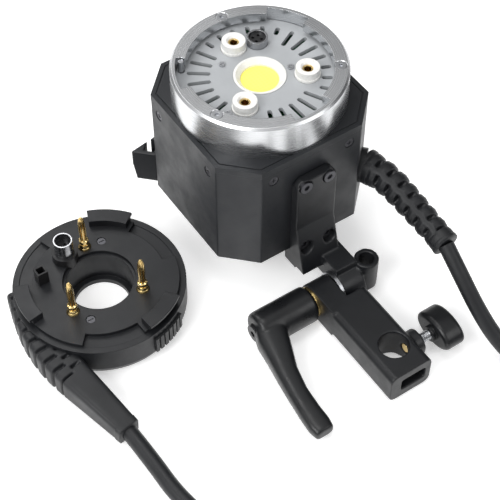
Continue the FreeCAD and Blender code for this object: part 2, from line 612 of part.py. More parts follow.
def clamp_lever():
    start = -16.8
    hub_end = f"({start} - hub_length)"
    bolt = rod("bolt_radius", 53, -41, TILT_Y, "tilt_height", "x")
    node("tilt_bolt", bolt)
    spline = rod(6.3, 26, start, TILT_Y, "tilt_height", "-x")
    node("lever_insert", cut(spline, rod("bolt_radius", 60, -41, TILT_Y, "tilt_height", "x")))
    head = rod(5, 4, f"{hub_end} + 1.6", TILT_Y, "tilt_height", "-x")
    neck = rod(2.4, 8, -42.8, TILT_Y, "tilt_height", "-x")
    key = bind(doc.addObject("Part::Prism", "hexagon"), Polygon=6, Circumradius=2, Height=3)
    put(key, f"{hub_end} - 3.5", TILT_Y, "tilt_height", (0, 1, 0), 90)
    node("lever_cap", cut(join(head, neck), key))
    hub = rod("hub_radius", "hub_length", start, TILT_Y, "tilt_height", "-x")
    tip_y = number(TILT_Y)
    height = size("tilt_height")
    arm = smooth_loft("lever_arm", (
        ((-44, tip_y - 3, height), (0, -1, 0), 7, 8),
        ((-49.5, tip_y - 20, height), (-0.2, -1, 0), 7.4, 6),
        ((-54, tip_y - 34, height - 0.6), (-0.2, -1, 0), 5.8, 5.2),
        ((-56, tip_y - 48, height - 1.6), (-0.08, -1, 0), 5.6, 4.8),
        ((-56.6, tip_y - 71, height - 2.8), (0, -1, 0), 6.2, 4.4)))
    tools = [rod(radius, length, x, TILT_Y, "tilt_height", "-x")
             for radius, length, x in ((6.5, 28, start + 1), (2.8, 60, start), (5.4, 20, -46))]
    node("clamp_lever", cut(join(hub, arm), *tools))


# --- Cable ----------------------------------------------------------------------------------------
HEAD_ROUTE = ((47.8, -106, 50.5), (47.5, -121, 40), (49, -136, 25.5), (52, -150, 12.5), (56.5, -167, 5.2),
              (62, -189, 4.5), (67, -216, 4.5), (69.5, -247, 4.5), (69, -277, 4.5))
ADAPTER_ROUTE = ((-139.5, -86.5, 6.3), (-138, -107, 4.8), (-138, -130, 4.5), (-133, -154, 4.5),
                 (-116, -182, 4.5), (-94, -213, 4.5), (-74, -249, 4.5), (-52, -285, 5), (-29.5, -316, 13))
COIL_CENTRE = (15, -285)
COIL_INNER = 31.5
COIL_OUTER = 58.5


def route_path(points):
    """Straight runs joined by arcs, each as large as its two runs allow."""
    places = [FreeCAD.Vector(*point) for point in points]
    edges = []
    start = places[0]
    radii = []
    for before, corner, after in zip(places, places[1:], places[2:]):
        into = (corner - before).normalize()
        away = (after - corner).normalize()
        turn = into.getAngle(away)
        shorter = min((corner - before).Length, (after - corner).Length)
        setback = 0.45 * shorter
        radii.append(setback / math.tan(turn / 2))
        first = corner - into * setback
        last = corner + away * setback
        bisector = (away - into).normalize()
        middle = corner + bisector * (radii[-1] / math.cos(turn / 2) - radii[-1])
        edges.append(Part.LineSegment(start, first).toShape())
        edges.append(Part.Arc(first, middle, last).toShape())
        start = last
    edges.append(Part.LineSegment(start, places[-1]).toShape())
    print("arc radii", [round(radius) for radius in radii])
    return Part.Wire(edges)


def tube(name, points):
    path = route_path(points)
    radius = size("cable_radius")
    first = path.Edges[0]
    start = first.FirstParameter
    section = Part.Wire([Part.Circle(first.valueAt(start), first.tangentAt(start), radius).toShape()])
    piece = doc.addObject("Part::Feature", name)
    piece.Shape = path.makePipeShell([section], True, False)
    print(name, "length", round(path.Length, 1), "volume ratio",
          round(piece.Shape.Volume / (math.pi * radius ** 2 * path.Length), 4))
    return node(name, piece)


def cable():
    collar = spin(group(cut(rod(9.8, 3.2, CORNER, 0, "gland_height", "x"),
                            rod("cable_radius", 30, f"{CORNER} - 10", 0, "gland_height", "x"))), -45)
    node("gland_collar", collar)
    thread = rod("gland_bore - 0.1", "shell_wall + 5", f"{CORNER} - shell_wall - 5", 0, "gland_height", "x")
    passage = rod("cable_radius", 30, f"{CORNER} - 15", 0, "gland_height", "x")
    node("gland_bush", spin(cut(thread, passage), -45))
    corner = number(CORNER)
    root = (corner + 3.2) / math.sqrt(2)
    height = size("gland_height")
    end = HEAD_ROUTE[0]
    relief = smooth_loft("relief", (
        ((root, -root, height), (0.7071, -0.7071, 0), 9.2, 9.2),
        ((root + 5.5, -root - 12, height), (0.25, -0.97, -0.05), 9, 9),
        ((root + 5, -root - 33, height - 3.5), (0, -1, -0.2), 8.2, 8.2),
        (end, (-0.02, -0.84, -0.54), 7.3, 7.3)))
    node("strain_relief", relief)
    tube("cable_head", HEAD_ROUTE)
    tube("cable_adapter", ADAPTER_ROUTE)
    x, y = COIL_CENTRE
    coil = cut(rod(COIL_OUTER, "4 * cable_radius", x, y, 0), rod(COIL_INNER, 60, x, y, -5))
    node("cable_coil", coil)


# --- Ring adapter ---------------------------------------------------------------------------------
def adapter():
    x, y = "adapter_x", "adapter_y"
    top = "adapter_height"
    outer = "adapter_radius"
    hull = join(rod(outer, f"{top} - 6", x, y, 6), cone(f"{outer} - 3", outer, 6, x, y, 0))
    space = rod(f"{outer} - adapter_wall - 2", f"{top}", x, y, 2)
    core = rod("adapter_hole + adapter_wall", f"{top}", x, y, 0)
    shell = cut(join(cut(hull, space), core), rod("adapter_hole - 3", 60, x, y, -5),
                rod("adapter_hole", 60, x, y, 3))
    node("adapter_shell", shell)
    seat = rod(f"{outer} - adapter_wall - 2", "adapter_plate + 1.5", x, y, f"{top} - 1.5")
    tools = [rod("adapter_hole + adapter_wall", 60, x, y, 0)]
    for angle in CLAW_ANGLES:
        pocket = cut(rod(60, 6, 0, 0, f"{top} - 0.4", "z", 45), rod("adapter_radius - 11", 30, 0, 0, 0, "z"))
        tools.append(spin(pocket, angle - 64, x, y))
    pins = [polar("socket_orbit", angle, x, y) for angle in PIN_ANGLES]
    for px, py in pins:
        tools.append(rod(3.6, 20, px, py, f"{top} - 5"))
    plug_x, plug_y = polar("socket_orbit", ADAPTER_PLUG_ANGLE, x, y)
    tools.append(rod(7, 20, plug_x, plug_y, f"{top} - 5"))
    for angle in ADAPTER_SCREW_ANGLES:
        tools.append(rod(1.2, 20, *polar(ADAPTER_SCREW_ORBIT, angle, x, y), f"{top} - 5"))
        tools.append(rod(2.6, 20, *polar(ADAPTER_SCREW_ORBIT, angle, x, y), f"{top} + 0.8"))
    node("adapter_plate", cut(seat, *tools))
    claws = []
    for angle in CLAW_ANGLES:
        arc = cut(rod("adapter_radius - 3", 4.5, 0, 0, f"{top} + adapter_plate", "z", 32),
                  rod("adapter_radius - 9.5", 60, 0, 0, 0))
        step = cut(rod("adapter_radius - 1", 1.6, 0, 0, f"{top} + adapter_plate + 2.9", "z", 32),
                   rod("adapter_radius - 6", 60, 0, 0, 0))
        claws.append(spin(join(arc, step), angle - 16, x, y))
    node("adapter_claws", group(*claws))
    collars, bullets = [], []
    high = f"{top} + adapter_plate"
    for px, py in pins:
        collar = rod(3.6, "adapter_plate + 1.5 + 4", px, py, f"{top} - 1.5")
        collars.append(cut(collar, rod("pin_radius", 60, px, py, 0)))
        tip = bind(doc.addObject("Part::Sphere", "tip"), Radius="pin_radius")
        put(tip, px, py, f"{high} + pin_length - pin_radius")
        bullets.append(join(rod("pin_radius", "pin_length + 2 - pin_radius", px, py, f"{high} - 2"), tip))
    node("pin_collars", group(*collars))
    node("adapter_pins", group(*bullets))
    collar = rod(7, "adapter_plate + 5", plug_x, plug_y, top)
    node("plug_collar", cut(collar, rod(5.3, 60, plug_x, plug_y, 0)))
    sleeve = cut(rod(5.3, 17, plug_x, plug_y, top), rod(4.5, 60, plug_x, plug_y, f"{top} + 1"))
    node("plug_shell", sleeve)
    insert = rod(4.5, 10, plug_x, plug_y, f"{top} + 1")
    holes = [rod(0.7, 20, *polar(2.2, 45 + 90 * k, plug_x, plug_y), f"{top} + 6") for k in range(4)]
    node("plug_insert", cut(insert, *holes))
    post_x, post_y = polar(31, 147.5, x, y)
    post = cut(block(6, 6, 9, post_x, post_y, high), block(4, 4, 12, post_x, post_y, f"{high} + 1"))
    node("key_post", post)
    screws = []
    for angle in ADAPTER_SCREW_ANGLES:
        px, py = polar(ADAPTER_SCREW_ORBIT, angle, x, y)
        slot = block(3, 0.6, 2, px, py, f"{high} - 0.7")
        head = rod(2.4, 0.9, px, py, f"{top} + 0.8")
        screws.append(cut(join(head, rod(1.2, 3, px, py, f"{top} - 1.5")), slot))
    node("adapter_screws", group(*screws))
    wall = cut(rod("adapter_radius + 1.6", 11, 0, 0, 6.5, "z", 26), rod("adapter_radius", 60, 0, 0, 0))
    ribs = [spin(group(block(3, 1, 14, "adapter_radius + 2.2", 0, 5)), 3 + 4 * k) for k in range(6)]
    node("grip_pad", spin(cut(wall, *ribs), -82.5, x, y))
    cx, cy = size("adapter_x"), size("adapter_y")
    end = ADAPTER_ROUTE[0]
    boss = smooth_loft("boss", (
        ((cx - 42.5, cy + 20, 9.6), (-0.1, -1, 0), 9.4, 8.6),
        ((cx - 43.3, cy - 10, 9.6), (0.04, -1, 0), 10, 8.8),
        ((cx - 40.5, cy - 34, 9.4), (0.16, -1, 0), 10, 8.8),
        ((cx - 36.5, cy - 56, 8.4), (0.2, -1, -0.03), 8.9, 7.9),
        (end, (0.12, -1, -0.05), 6.3, 6.2)))
    node("adapter_relief", cut(boss, rod("adapter_radius", 60, x, y, -5)))


def build():
    mount_ring()
    vent_plate()
    sockets()
    modelling_light()
    body_shells()
    side_screws()
    electronics()
    fan()
    release()
    bracket()
    tilt_clamp()
    stand_screw()
    clamp_lever()
    cable()
    adapter()


def check_and_write():
    doc.recompute()
    for item in doc.Objects:
        if "Invalid" in item.State or "Error" in item.State:
            raise RuntimeError(f"{item.Name} ({item.Label}) failed: {item.State}")
    os.makedirs("parts", exist_ok=True)
    for name, piece in nodes.items():
        shape = piece.Shape
        if shape.isNull() or not shape.isValid() or not shape.Solids:
            raise RuntimeError(f"{name} has no valid solid")
        shape.exportStep(f"parts/{name}.step")
    print(len(nodes), "nodes")


build()
check_and_write()
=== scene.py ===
"""Looks of the remote flash head: materials, cable, bend protectors, castings, light and camera.

Lengths are in metres and angles in radians, unless a name or a comment says otherwise.
"""
import json
import math
from functools import partial
import bmesh
import bpy
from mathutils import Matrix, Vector


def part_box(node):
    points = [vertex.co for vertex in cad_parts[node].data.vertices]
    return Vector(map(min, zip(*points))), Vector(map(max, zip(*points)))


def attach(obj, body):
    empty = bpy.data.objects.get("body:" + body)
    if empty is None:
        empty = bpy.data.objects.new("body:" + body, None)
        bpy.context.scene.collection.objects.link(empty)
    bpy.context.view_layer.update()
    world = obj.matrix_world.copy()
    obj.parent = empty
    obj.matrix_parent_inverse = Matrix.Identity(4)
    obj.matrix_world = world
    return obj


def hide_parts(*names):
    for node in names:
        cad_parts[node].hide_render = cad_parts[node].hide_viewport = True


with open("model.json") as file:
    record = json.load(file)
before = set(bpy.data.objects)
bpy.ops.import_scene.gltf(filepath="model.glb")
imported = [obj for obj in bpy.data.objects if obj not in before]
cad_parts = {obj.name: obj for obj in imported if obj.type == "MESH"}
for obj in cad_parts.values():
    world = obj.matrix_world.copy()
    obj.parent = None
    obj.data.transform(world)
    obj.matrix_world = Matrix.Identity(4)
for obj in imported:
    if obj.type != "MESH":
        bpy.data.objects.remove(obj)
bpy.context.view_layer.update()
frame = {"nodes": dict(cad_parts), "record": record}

NODES = frame["nodes"]
CABLE = 0.009


# --- Materials ------------------------------------------------------------------------------------
def fill_ramp(ramp, stops):
    """Sets a new colour ramp to (position, colour) stops in rising order."""
    for end, (position, colour) in ((0, stops[0]), (1, stops[-1])):
        ramp.elements[end].position = position
        ramp.elements[end].color = (*colour, 1)
    for position, colour in stops[1:-1]:
        ramp.elements.new(position).color = (*colour, 1)


class Nodes:
    """A material's node tree under construction."""

    def __init__(self, name):
        self.material = bpy.data.materials.new(name)
        self.material.use_nodes = True
        self.tree = self.material.node_tree
        self.shader = self.tree.nodes["Principled BSDF"]
        self.place = self.add("ShaderNodeTexCoord").outputs["Object"]

    def add(self, kind, **values):
        made = self.tree.nodes.new(kind)
        for key, value in values.items():
            setattr(made, key, value)
        return made

    def link(self, start, end):
        self.tree.links.new(start, end)

    def set(self, name, value):
        """Gives an input of the shader a fixed value."""
        self.shader.inputs[name].default_value = value

    def feed(self, name, value):
        """Gives an input of the shader another node's output."""
        self.link(value, self.shader.inputs[name])

    def noise(self, scale, detail, rough, stretch=None):
        made = self.add("ShaderNodeTexNoise")
        made.inputs["Scale"].default_value = scale
        made.inputs["Detail"].default_value = detail
        made.inputs["Roughness"].default_value = rough
        place = self.place
        if stretch:
            mapping = self.add("ShaderNodeMapping")
            mapping.inputs["Scale"].default_value = stretch
            self.link(self.place, mapping.inputs["Vector"])
            place = mapping.outputs["Vector"]
        self.link(place, made.inputs["Vector"])
        return made.outputs["Fac"]

    def cells(self, distance, scale):
        made = self.add("ShaderNodeTexVoronoi", distance=distance)
        made.inputs["Scale"].default_value = scale
        self.link(self.place, made.inputs["Vector"])
        return made

    def ramp(self, value, stops):
        made = self.add("ShaderNodeValToRGB")
        fill_ramp(made.color_ramp, stops)
        self.link(value, made.inputs["Fac"])
        return made.outputs["Color"]

    def range(self, value, low, high, start=0.3, end=0.7):
        """Maps start to end onto low to high."""
        made = self.add("ShaderNodeMapRange")
        made.inputs["From Min"].default_value = start
        made.inputs["From Max"].default_value = end
        made.inputs["To Min"].default_value = low
        made.inputs["To Max"].default_value = high
        self.link(value, made.inputs["Value"])
        return made.outputs["Result"]

    def edge(self, radius):
        """Normals of the surface with its edges rounded off by this radius."""
        bevel = self.add("ShaderNodeBevel", samples=4)
        bevel.inputs["Radius"].default_value = radius
        return bevel.outputs["Normal"]

    def bump(self, height, strength, distance, normal=None):
        made = self.add("ShaderNodeBump")
        made.inputs["Strength"].default_value = strength
        made.inputs["Distance"].default_value = distance
        self.link(height, made.inputs["Height"])
        if normal:
            self.link(normal, made.inputs["Normal"])
        self.feed("Normal", made.outputs["Normal"])

    def mix(self, factor, first, second):
        """first where the factor is 0 and the colour second where it is 1."""
        made = self.add("ShaderNodeMix", data_type="RGBA")
        self.link(factor, made.inputs["Factor"])
        colours = {item.name: item for item in made.inputs if item.type == "RGBA"}
        self.link(first, colours["A"])
        colours["B"].default_value = (*second, 1)
        return [item for item in made.outputs if item.type == "RGBA"][0]


def shades(colour, vary):
    """A darker and a lighter version of a colour."""
    dark = tuple(c * (1 - vary) for c in colour)
    light = tuple(min(1, c * (1 + vary)) for c in colour)
    return dark, light


def plastic(name, colour, rough, grain, depth=0.00006, vary=0.25, edge=0.0005, scuff=0.1):
    """Moulded or coated surface: fine grain, cloudy sheen, faint scuffs and softened edges."""
    n = Nodes(name)
    cloud = n.noise(scale=38, detail=5, rough=0.6)
    dark, light = shades(colour, vary)
    base = n.ramp(cloud, ((0.3, dark), (0.7, light)))
    scratch = n.noise(scale=260, detail=6, rough=0.75, stretch=(1, 1, 0.12))
    marks = n.range(scratch, low=0, high=scuff, start=0.62, end=0.8)
    pale = tuple(min(1, c + 0.03) for c in colour)
    n.feed("Base Color", n.mix(marks, base, pale))
    sheen = n.noise(scale=90, detail=4, rough=0.6)
    n.feed("Roughness", n.range(sheen, low=rough - 0.07, high=rough + 0.09))
    fine = n.noise(scale=grain, detail=2, rough=0.5)
    n.bump(fine, strength=0.35, distance=depth, normal=n.edge(edge))
    n.set("Specular IOR Level", 0.43)
    return n.material


def metal(name, colour, rough, stretch=(1, 1, 30), brush=500, vary=0.1):
    """Machined or plated metal with a directional brush and slight tarnish."""
    n = Nodes(name)
    line = n.noise(scale=brush, detail=5, rough=0.7, stretch=stretch)
    dark, light = shades(colour, vary)
    tarnish = n.noise(scale=60, detail=5, rough=0.65)
    n.feed("Base Color", n.ramp(tarnish, ((0.35, dark), (0.65, light))))
    n.feed("Roughness", n.range(line, low=rough - 0.08, high=rough + 0.1, start=0.25, end=0.75))
    n.set("Metallic", 1)
    n.bump(line, strength=0.3, distance=0.00003, normal=n.edge(0.0003))
    return n.material


def turned_metal(name, colour, rough, rings=2600):
    """Lathe-turned metal: fine circles about the optical axis and up the outer wall."""
    n = Nodes(name)
    split = n.add("ShaderNodeSeparateXYZ")
    n.link(n.place, split.inputs["Vector"])
    flat = n.add("ShaderNodeCombineXYZ")
    n.link(split.outputs["X"], flat.inputs["X"])
    n.link(split.outputs["Y"], flat.inputs["Y"])
    length = n.add("ShaderNodeVectorMath", operation="LENGTH")
    n.link(flat.outputs["Vector"], length.inputs[0])
    total = n.add("ShaderNodeMath", operation="ADD")
    n.link(length.outputs["Value"], total.inputs[0])
    n.link(split.outputs["Z"], total.inputs[1])
    wave = n.add("ShaderNodeTexNoise", noise_dimensions="1D")
    wave.inputs["Scale"].default_value = rings
    wave.inputs["Detail"].default_value = 3
    n.link(total.outputs["Value"], wave.inputs["W"])
    smear = n.noise(scale=45, detail=5, rough=0.6)
    dark = tuple(c * 0.9 for c in colour)
    n.feed("Base Color", n.ramp(smear, ((0.35, dark), (0.65, colour))))
    n.feed("Roughness", n.range(wave.outputs["Fac"], low=rough - 0.03, high=rough + 0.05))
    n.set("Metallic", 1)
    n.set("Anisotropic", 0.4)
    n.bump(wave.outputs["Fac"], strength=0.06, distance=0.00002, normal=n.edge(0.0003))
    return n.material


def gel(name):
    """Yellow phosphor with a grid of faint dies under it, and a painted glow: it gives off light of
    its own though it is no lamp.
    """
    n = Nodes(name)
    dies = n.cells("CHEBYCHEV", scale=520)
    dies.inputs["Randomness"].default_value = 0.05
    base = n.ramp(dies.outputs["Distance"], ((0.0, (0.90, 0.80, 0.13)), (0.8, (0.95, 0.87, 0.20))))
    n.feed("Base Color", base)
    n.set("Roughness", 0.35)
    n.set("Subsurface Weight", 0.15)
    n.set("Subsurface Radius", (0.002, 0.0016, 0.0004))
    # Painted glow: the phosphor's own yellow emitted as light, to brighten it, though the head is
    # not lit.
    n.set("Emission Color", (1, 0.88, 0.16, 1))
    n.set("Emission Strength", 0.25)
    n.bump(n.noise(scale=900, detail=2, rough=0.5), strength=0.15, distance=0.00005)
    return n.material


def ceramic(name):
    """White glazed ceramic with faint specks."""
    n = Nodes(name)
    speck = n.noise(scale=700, detail=3, rough=0.6)
    n.feed("Base Color", n.ramp(speck, ((0.2, (0.74, 0.73, 0.69)), (0.5, (0.88, 0.875, 0.85)))))
    n.feed("Roughness", n.range(n.noise(scale=120, detail=4, rough=0.6), low=0.28, high=0.45))
    n.set("Coat Weight", 0.3)
    waves = n.noise(scale=260, detail=3, rough=0.5)
    n.bump(waves, strength=0.12, distance=0.00008, normal=n.edge(0.0004))
    return n.material


def circuit(name):
    """Green solder mask with copper traces."""
    n = Nodes(name)
    traces = n.cells("MANHATTAN", scale=240).outputs["Distance"]
    stops = ((0.1, (0.55, 0.42, 0.18)), (0.2, (0.02, 0.13, 0.06)), (0.9, (0.03, 0.17, 0.08)))
    n.feed("Base Color", n.ramp(traces, stops))
    n.set("Roughness", 0.4)
    n.bump(traces, strength=0.2, distance=0.0001)
    return n.material


MATERIALS = {
    "housing_black": plastic("housing_coat", (0.0105, 0.0118, 0.0145), rough=0.44, grain=1700,
                             depth=0.00007, vary=0.09, scuff=0.03),
    "ring_metal": turned_metal("turned_aluminium", (0.70, 0.71, 0.725), rough=0.24),
    "screw_steel": metal("zinc_steel", (0.5, 0.51, 0.53), rough=0.32, stretch=(1, 1, 6), brush=900),
    "plate_grey": plastic("grey_paint", (0.40, 0.415, 0.43), rough=0.5, grain=1500,
                          depth=0.00004, vary=0.06, edge=0.0003, scuff=0.05),
    "ceramic_white": ceramic("glazed_ceramic"),
    "contact_brass": metal("gilt_brass", (0.83, 0.62, 0.27), rough=0.2, stretch=(1, 1, 10),
                           brush=700),
    "led_yellow": gel("phosphor"),
    "sink_aluminium": metal("mill_aluminium", (0.62, 0.63, 0.65), rough=0.4),
    "chrome_shell": metal("bright_chrome", (0.42, 0.425, 0.44), rough=0.2, stretch=(1, 1, 8),
                          brush=600, vary=0.05),
    "insert_black": plastic("insert_plastic", (0.009, 0.009, 0.010), rough=0.42, grain=1600),
    "board_green": circuit("solder_mask"),
    "bracket_black": plastic("powder_coat", (0.0088, 0.0095, 0.0112), rough=0.4, grain=1300,
                             depth=0.00010, vary=0.2, edge=0.0007, scuff=0.15),
    "lever_black": plastic("lever_plastic", (0.008, 0.0086, 0.0098), rough=0.32, grain=1100,
                           vary=0.2, edge=0.0008),
    "rubber_black": plastic("cable_rubber", (0.0095, 0.0102, 0.012), rough=0.46, grain=900,
                            depth=0.00008, edge=0.0004, scuff=0.2),
    "adapter_black": plastic("adapter_plastic", (0.0088, 0.0096, 0.0115), rough=0.43, grain=1500,
                             depth=0.00007, vary=0.2),
}
STEEL_BLACK = metal("black_steel", (0.11, 0.11, 0.12), rough=0.4, stretch=(1, 1, 6), brush=800)
SLOTS = {row["node"]: row["material_slot"] for row in frame["record"]["subparts"]}


def paint(obj, material):
    obj.data.materials.clear()
    obj.data.materials.append(material)


def paint_nodes():
    for name, obj in NODES.items():
        paint(obj, MATERIALS[SLOTS[name]])
    for name in ("side_screws", "bracket_screws", "rear_screws", "adapter_screws"):
        paint(NODES[name], STEEL_BLACK)


# --- Meshes ---------------------------------------------------------------------------------------
def add_object(name, data):
    obj = bpy.data.objects.new(name, data)
    bpy.context.scene.collection.objects.link(obj)
    return obj


def new_piece(name, data, body, slot):
    obj = add_object(name, data)
    paint(obj, MATERIALS[slot])
    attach(obj, body)
    return obj


def to_data(name, mesh):
    """Mesh data from a bmesh, which is freed."""
    data = bpy.data.meshes.new(name)
    mesh.to_mesh(data)
    mesh.free()
    return data


def shade_smooth(data, sharp_degrees=None):
    """Smooth faces, apart from edges sharper than an angle where one is given."""
    for face in data.polygons:
        face.use_smooth = True
    if sharp_degrees:
        data.set_sharp_from_angle(angle=math.radians(sharp_degrees))


def evaluated_mesh(obj):
    """The mesh that an object comes out as, which is then removed."""
    bpy.context.view_layer.update()
    graph = bpy.context.evaluated_depsgraph_get()
    found = bpy.data.meshes.new_from_object(obj.evaluated_get(graph))
    bpy.data.objects.remove(obj)
    return found


def frames_along(points):
    """Each point with two normals of the line, turned as little as possible from one to the next."""
    places = [Vector(point) for point in points]
    rows = []
    side = None
    for k, place in enumerate(places):
        ahead = places[min(k + 1, len(places) - 1)]
        behind = places[max(k - 1, 0)]
        tangent = (ahead - behind).normalized()
        if side is None:
            side = tangent.cross(Vector((0, 0, 1))).normalized()
        side = (side - tangent * side.dot(tangent)).normalized()
        rows.append((place, side, tangent.cross(side)))
    return rows


def round_ring(mesh, place, side, up, sides, reach):
    """Corners round a place, each as far out as reach(angle) says."""
    ring = []
    for j in range(sides):
        angle = 2 * math.pi * j / sides
        out = side * math.cos(angle) + up * math.sin(angle)
        ring.append(mesh.verts.new(place + out * reach(angle)))
    return ring


def join_rings(mesh, rings):
    """Walls between rings of as many corners, and a face on each end."""
    for low, high in zip(rings, rings[1:]):
        for j in range(len(low)):
            after = (j + 1) % len(low)
            mesh.faces.new((low[j], low[after], high[after], high[j]))
    mesh.faces.new(rings[0][::-1])
    mesh.faces.new(rings[-1])


def skin(name, rows, reaches, sides):
    """A closed tube along rows of frames_along: reaches[k](angle) is its radius at row k."""
    mesh = bmesh.new()
    join_rings(mesh, [round_ring(mesh, *row, sides, reach) for row, reach in zip(rows, reaches)])
    bmesh.ops.recalc_face_normals(mesh, faces=mesh.faces)
    data = to_data(name, mesh)
    shade_smooth(data)
    return data


def route_curve(name, points):
    """A smooth line through few control points."""
    curve = bpy.data.curves.new(name, "CURVE")
    curve.dimensions = "3D"
    spline = curve.splines.new("NURBS")
    spline.points.add(len(points) - 1)
    for point, place in zip(spline.points, points):
        point.co = (*place, 1)
    spline.order_u = 3
    spline.use_endpoint_u = True
    return curve


def smooth_route(points):
    """Points along such a line, for a piece that follows a bend."""
    curve = route_curve("bend", points)
    curve.resolution_u = 24
    line = evaluated_mesh(add_object("bend", curve))
    return [vertex.co.copy() for vertex in line.vertices]


def resample(points, count):
    """count points an equal distance apart along a line."""
    lengths = [0.0]
    for before, after in zip(points, points[1:]):
        lengths.append(lengths[-1] + (after - before).length)
    found, k = [], 0
    for j in range(count):
        goal = lengths[-1] * j / (count - 1)
        while k < len(points) - 2 and lengths[k + 1] < goal:
            k += 1
        share = (goal - lengths[k]) / max(lengths[k + 1] - lengths[k], 1e-9)
        found.append(points[k].lerp(points[k + 1], share))
    return found


def below(value, edge, steepness):
    """1 well below the edge, 0 well above it, and a soft change between."""
    return 1 / (1 + math.exp((value - edge) * steepness))


def above(value, edge, steepness):
    """0 well below the edge, 1 well above it, and a soft change between."""
    return 1 / (1 + math.exp((edge - value) * steepness))


def oval_reach(angle, wide, tall, power):
    """Radius of an oval with these half sizes, squarer the higher the power."""
    total = abs(math.cos(angle) / wide) ** power + abs(math.sin(angle) / tall) ** power
    return total ** (-1 / power)


# --- Cable ----------------------------------------------------------------------------------------
HEAD_ROUTE = (
    (0.0478, -0.106, 0.0505), (0.0475, -0.121, 0.040), (0.049, -0.136, 0.0255),
    (0.052, -0.150, 0.0125), (0.0565, -0.167, 0.0052), (0.062, -0.189, 0.0045),
    (0.067, -0.216, 0.0045), (0.0695, -0.247, 0.0045), (0.069, -0.277, 0.0045),
)
ADAPTER_ROUTE = (
    (-0.1395, -0.0865, 0.0063), (-0.138, -0.107, 0.0048), (-0.138, -0.130, 0.0045),
    (-0.133, -0.154, 0.0045), (-0.116, -0.182, 0.0045), (-0.094, -0.213, 0.0045),
    (-0.074, -0.249, 0.0045), (-0.052, -0.285, 0.005), (-0.0295, -0.316, 0.013),
)
COIL_CENTRE = (0.015, -0.285)
COIL_OUTER = 0.054
COIL_INNER = 0.036
COIL_LOW = 0.0045
COIL_STEP = 0.0089
COIL_START = math.radians(8)
COIL_TURNS = 5 + 153 / 360
TURNS_INWARDS = 2
TURNS_OUTWARDS = 1.5
CLIMB_FROM = 2.6
CLIMB_TURNS = 0.35
UPPER_FROM = 2.95
TURN_POINTS = 16


def coil_points():
    """Clockwise turns: inwards on the floor, then outwards again on top of them."""
    found = []
    count = round(COIL_TURNS * TURN_POINTS)
    for k in range(1, count):
        turn = COIL_TURNS * k / count
        angle = COIL_START - 2 * math.pi * turn
        if turn < CLIMB_FROM:
            radius = COIL_OUTER - CABLE * min(TURNS_INWARDS, turn)
            height = COIL_LOW
        else:
            rise = min(1, (turn - CLIMB_FROM) / CLIMB_TURNS)
            wound = min(TURNS_OUTWARDS, max(0, turn - UPPER_FROM))
            radius = COIL_INNER + CABLE / 2 * rise + CABLE * wound
            height = COIL_LOW + COIL_STEP * rise
        found.append((COIL_CENTRE[0] + radius * math.cos(angle),
                      COIL_CENTRE[1] + radius * math.sin(angle), height))
    return found


def cable():
    curve = route_curve("flash_cable", [*HEAD_ROUTE, *coil_points(), *reversed(ADAPTER_ROUTE)])
    curve.bevel_depth = CABLE / 2
    curve.bevel_resolution = 8
    curve.resolution_u = 6
    curve.use_fill_caps = True
    obj = add_object("flash_cable", curve)
    paint(obj, MATERIALS["rubber_black"])
    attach(obj, "root")
    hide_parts("cable_head", "cable_coil", "cable_adapter")
    return obj


# --- Floor, light and camera ----------------------------------------------------------------------
FLOOR_HALF = 6
LAMP_TARGET = (0, -0.05, 0.05)
LAMPS = (  # name, place, watts, width
    ("key", (-1.1, -0.3, 1.0), 11, 0.7),
    ("fill", (0.7, -1.1, 1.0), 4, 0.8),
    ("back", (-0.1, 1.1, 1.1), 7, 0.8),
    ("top", (-0.1, 0.15, 1.7), 5, 0.6),
)
SKY_STOPS = ((0.0, (0.16, 0.16, 0.165)), (0.35, (0.42, 0.425, 0.43)), (0.62, (1, 1, 1)),
             (1.0, (1, 1, 1)))
SKY_SLANT = -0.45
SKY_STRENGTH = 0.6
CAMERA_PLACE = (-0.290, -0.422, 0.608)
CAMERA_TARGET = (-0.0180, -0.0176, 0)
LENS_MM = 97.2
SENSOR_MM = 36


def aim(obj, place, target):
    """Puts a lamp or camera at a place, looking at a target."""
    obj.location = place
    obj.rotation_euler = (Vector(target) - Vector(place)).to_track_quat("-Z", "Y").to_euler()


def stage_and_light():
    made = bmesh.new()
    bmesh.ops.create_grid(made, x_segments=1, y_segments=1, size=FLOOR_HALF)
    obj = add_object("floor", to_data("floor", made))
    n = Nodes("pale_floor")
    cloud = n.noise(scale=3, detail=3, rough=0.5)
    n.feed("Base Color", n.ramp(cloud, ((0.3, (0.93, 0.93, 0.93)), (0.7, (0.95, 0.95, 0.95)))))
    n.set("Roughness", 0.9)
    n.set("Specular IOR Level", 0.1)
    n.set("Emission Color", (1, 1, 1, 1))
    n.set("Emission Strength", 0.4)
    paint(obj, n.material)
    sky()
    for name, place, watts, wide in LAMPS:
        lamp = bpy.data.lights.new(name, "AREA")
        lamp.energy = watts
        lamp.size = wide
        aim(add_object(name, lamp), place, LAMP_TARGET)


def sky():
    """A studio with grey walls and a bright ceiling, so that metal shows a light and a dark side."""
    world = bpy.data.worlds.new("studio")
    bpy.context.scene.world = world
    world.use_nodes = True
    nodes, link = world.node_tree.nodes, world.node_tree.links.new
    place = nodes.new("ShaderNodeTexCoord")
    split = nodes.new("ShaderNodeSeparateXYZ")
    link(place.outputs["Generated"], split.inputs["Vector"])
    tilt = nodes.new("ShaderNodeMath")
    tilt.operation = "MULTIPLY_ADD"
    tilt.inputs[1].default_value = SKY_SLANT
    link(split.outputs["X"], tilt.inputs[0])
    link(split.outputs["Z"], tilt.inputs[2])
    ramp = nodes.new("ShaderNodeValToRGB")
    fill_ramp(ramp.color_ramp, SKY_STOPS)
    link(tilt.outputs["Value"], ramp.inputs["Fac"])
    link(ramp.outputs["Color"], nodes["Background"].inputs["Color"])
    nodes["Background"].inputs["Strength"].default_value = SKY_STRENGTH


